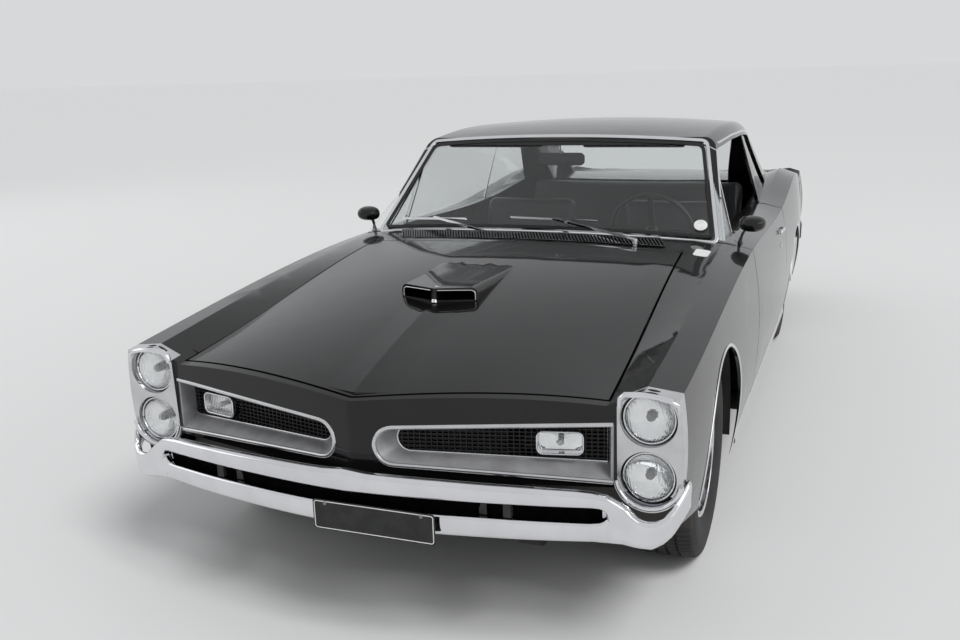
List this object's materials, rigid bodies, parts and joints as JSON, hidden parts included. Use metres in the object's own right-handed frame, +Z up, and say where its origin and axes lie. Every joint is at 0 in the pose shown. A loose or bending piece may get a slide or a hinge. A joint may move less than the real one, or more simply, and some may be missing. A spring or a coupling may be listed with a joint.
{
  "type": "muscle car",
  "caption": "Black two-door hardtop car with split deep-set grilles, stacked headlamps, chrome bumpers and sail panels; doors, hood, trunk lid, steering and wheels move.",
  "frame": {"origin": "on the ground, under the middle of the overall length and width", "axes": "+X forward along the car, +Y to the car's left, +Z up"},
  "size_m": [5.245, 1.89, 1.3698],
  "materials": {
    "paint": "gloss",
    "chrome": "polished",
    "glass": "clear",
    "tyre": "matte",
    "wheel": "polished",
    "vinyl": "satin",
    "chassis": "satin",
    "grille": "satin",
    "mesh": "satin",
    "lamp": "clear",
    "tail_lens": "clear",
    "engine": "satin",
    "trim_black": "matte",
    "steel": "brushed"
  },
  "bodies": {
    "car_body": {"chassis_frame": "chassis", "cowl_panel": "paint", "dashboard": "trim_black", "deck_panel": "paint", "engine": "engine", "exhaust": "steel", "floor_pan": "chassis", "front_bumper": "chrome", "front_fenders": "paint", "front_lamps": "lamp", "front_seats": "vinyl", "front_suspension": "chassis", "front_wheelhouses": "chassis", "fuel_tank": "steel", "grille_mesh": "mesh", "grille_surrounds": "grille", "headlamp_bezels": "chrome", "nose_panel": "paint", "quarter_glass": "glass", "quarter_panels": "paint", "radiator": "trim_black", "rear_axle": "chassis", "rear_bumper": "chrome", "rear_glass": "glass", "rear_seat": "vinyl", "rear_wheelhouses": "chassis", "rocker_panels": "paint", "roof_panel": "paint", "steering_box": "chassis", "steering_column": "trim_black", "tail_lamps": "tail_lens", "tail_panel": "paint", "windshield": "glass", "wipers": "chrome"},
    "door_left": {"door_left": "paint", "door_glass_left": "glass", "vent_frame_left": "chrome", "mirror_left": "paint"},
    "knuckle_left": {"knuckle_left": "chassis"},
    "front_wheel_left": {"wheel_front_left": "wheel", "tyre_front_left": "tyre"},
    "rear_wheel_left": {"wheel_rear_left": "wheel", "tyre_rear_left": "tyre"},
    "door_right": {"door_right": "paint", "door_glass_right": "glass", "vent_frame_right": "chrome", "mirror_right": "paint"},
    "knuckle_right": {"knuckle_right": "chassis"},
    "front_wheel_right": {"wheel_front_right": "wheel", "tyre_front_right": "tyre"},
    "rear_wheel_right": {"wheel_rear_right": "wheel", "tyre_rear_right": "tyre"},
    "hood": {"hood": "paint"},
    "decklid": {"decklid": "paint"},
    "pitman_arm": {"pitman_arm": "chassis"},
    "idler_arm": {"idler_arm": "chassis"},
    "relay_rod": {"relay_rod": "chassis"},
    "steering_wheel": {"steering_wheel": "trim_black"}
  },
  "joints": [
    {"name": "steer_left", "type": "hinge", "parent": "car_body", "child": "knuckle_left", "pos_m": [1.6905, 0.66, 0.34], "axis": [0, 0, 1], "range_deg": [-32, 32]},
    {"name": "steer_right", "type": "hinge", "parent": "car_body", "child": "knuckle_right", "pos_m": [1.6905, -0.66, 0.34], "axis": [0, 0, 1], "range_deg": [-32, 32]},
    {"name": "pitman_turn", "type": "hinge", "parent": "car_body", "child": "pitman_arm", "pos_m": [1.6905, 0.31, 0.288], "axis": [0, 0, 1], "range_deg": [-32, 32]},
    {"name": "idler_turn", "type": "hinge", "parent": "car_body", "child": "idler_arm", "pos_m": [1.6905, -0.31, 0.288], "axis": [0, 0, 1], "range_deg": [-32, 32]},
    {"name": "relay_turn", "type": "hinge", "parent": "pitman_arm", "child": "relay_rod", "pos_m": [1.5405, 0.31, 0.309], "axis": [0, 0, 1], "range_deg": [-32, 32]},
    {"name": "steering_wheel_turn", "type": "hinge", "parent": "car_body", "child": "steering_wheel", "pos_m": [0.3, 0.385, 0.86], "axis": [-0.9404, 0, 0.3401], "range_deg": [-560, 560]},
    {"name": "door_left_hinge", "type": "hinge", "parent": "car_body", "child": "door_left", "pos_m": [0.67, 0.915, 0.6], "axis": [0, 0, -1], "range_deg": [0, 65]},
    {"name": "door_right_hinge", "type": "hinge", "parent": "car_body", "child": "door_right", "pos_m": [0.67, -0.915, 0.6], "axis": [0, 0, 1], "range_deg": [0, 65]},
    {"name": "hood_hinge", "type": "hinge", "parent": "car_body", "child": "hood", "pos_m": [1.055, 0, 0.927], "axis": [0, -1, 0], "range_deg": [0, 55]},
    {"name": "decklid_hinge", "type": "hinge", "parent": "car_body", "child": "decklid", "pos_m": [-1.797, 0, 0.938], "axis": [0, 1, 0], "range_deg": [0, 60]},
    {"name": "wheel_spin_front_left", "type": "hinge", "parent": "knuckle_left", "child": "front_wheel_left", "pos_m": [1.6905, 0.77, 0.34], "axis": [0, 1, 0], "continuous": true},
    {"name": "wheel_spin_front_right", "type": "hinge", "parent": "knuckle_right", "child": "front_wheel_right", "pos_m": [1.6905, -0.77, 0.34], "axis": [0, 1, 0], "continuous": true},
    {"name": "wheel_spin_rear_left", "type": "hinge", "parent": "car_body", "child": "rear_wheel_left", "pos_m": [-1.2305, 0.76, 0.34], "axis": [0, 1, 0], "continuous": true},
    {"name": "wheel_spin_rear_right", "type": "hinge", "parent": "car_body", "child": "rear_wheel_right", "pos_m": [-1.2305, -0.76, 0.34], "axis": [0, 1, 0], "continuous": true}
  ],
  "couplings": [
    {"joint": "steer_right", "follows": "steer_left", "ratio": 1},
    {"joint": "pitman_turn", "follows": "steer_left", "ratio": 1},
    {"joint": "idler_turn", "follows": "steer_left", "ratio": 1},
    {"joint": "relay_turn", "follows": "steer_left", "ratio": -1},
    {"joint": "steering_wheel_turn", "follows": "steer_left", "ratio": 17.5}
  ]
}
